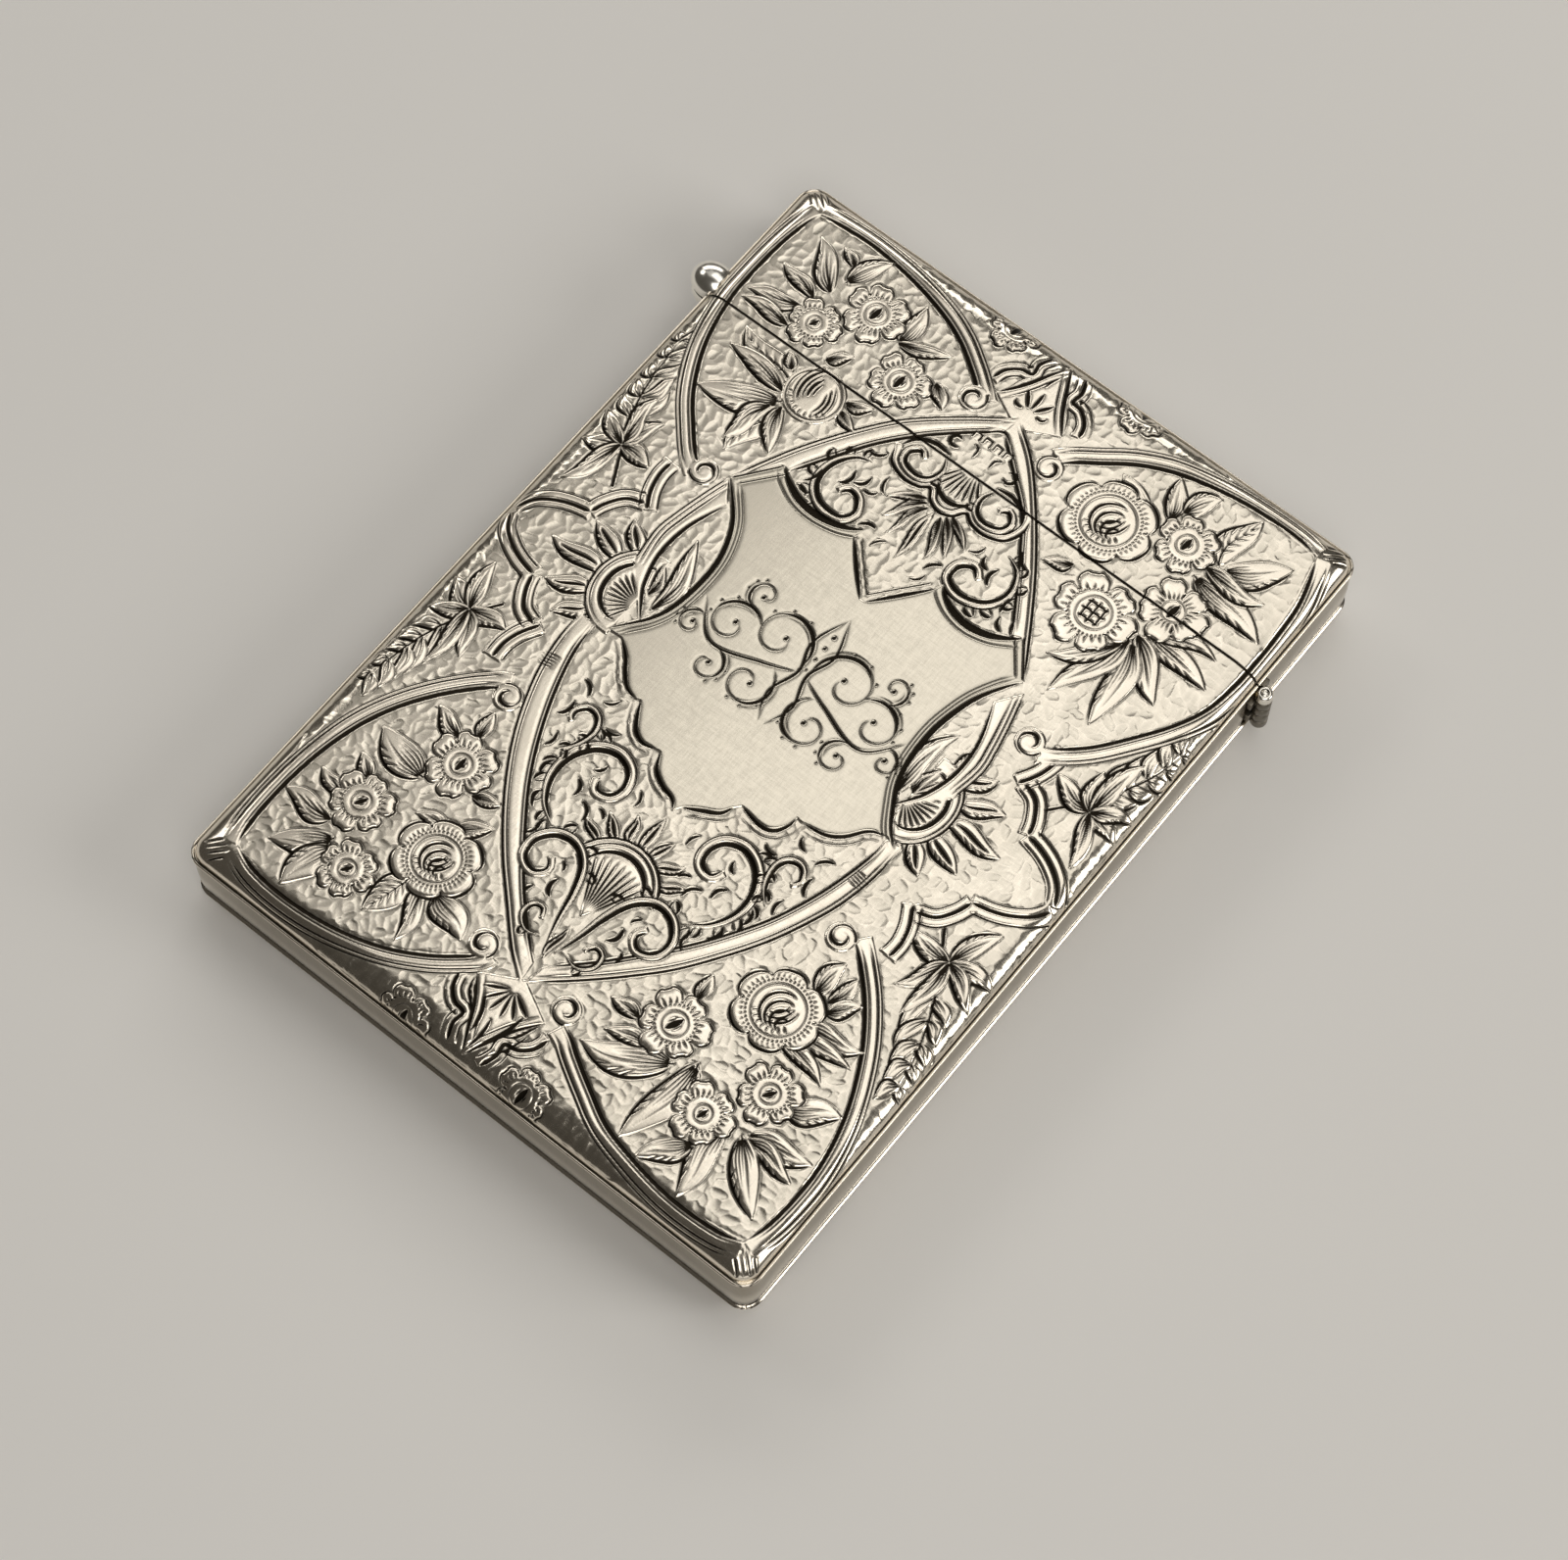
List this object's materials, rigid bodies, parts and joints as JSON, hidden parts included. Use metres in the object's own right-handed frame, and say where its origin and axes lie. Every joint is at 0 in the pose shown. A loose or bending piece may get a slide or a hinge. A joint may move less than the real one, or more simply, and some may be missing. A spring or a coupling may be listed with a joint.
{
  "type": "business card case",
  "caption": "Engraved silver card case: a shallow rounded box with a short end lid that swings open in plane on a side hinge, with a bead thumb-piece",
  "frame": {"origin": "middle of the flat back face that the case lies on", "axes": "+X towards the hinge side, +Y along the length towards the lid, +Z out of the engraved front"},
  "size_m": [0.0756, 0.098, 0.011],
  "materials": {
    "silver": "engraved silver, softly worn, dark in the cuts",
    "polished_silver": "bright rubbed silver",
    "hinge_wire": "dull tarnished wire",
    "gilt": "silver washed with gold"
  },
  "bodies": {
    "case_body": {"body_front_panel": "silver", "body_back_panel": "silver", "body_side_band": "silver", "mouth_bezel": "gilt", "body_hinge_bearer": "gilt", "body_hinge_knuckle_upper": "polished_silver", "body_hinge_knuckle_lower": "polished_silver", "hinge_pin": "hinge_wire"},
    "lid": {"lid_front_panel": "silver", "lid_back_panel": "silver", "lid_side_band": "silver", "lid_hinge_bearer": "gilt", "lid_hinge_knuckle_top": "polished_silver", "lid_hinge_knuckle_middle": "polished_silver", "lid_hinge_knuckle_bottom": "polished_silver", "thumb_piece": "polished_silver"}
  },
  "joints": [
    {"name": "lid_hinge", "type": "hinge", "parent": "case_body", "child": "lid", "pos_m": [0.0363, 0.0315, 0.0055], "axis": [0, 0, -1], "range_deg": [0, 105]}
  ]
}
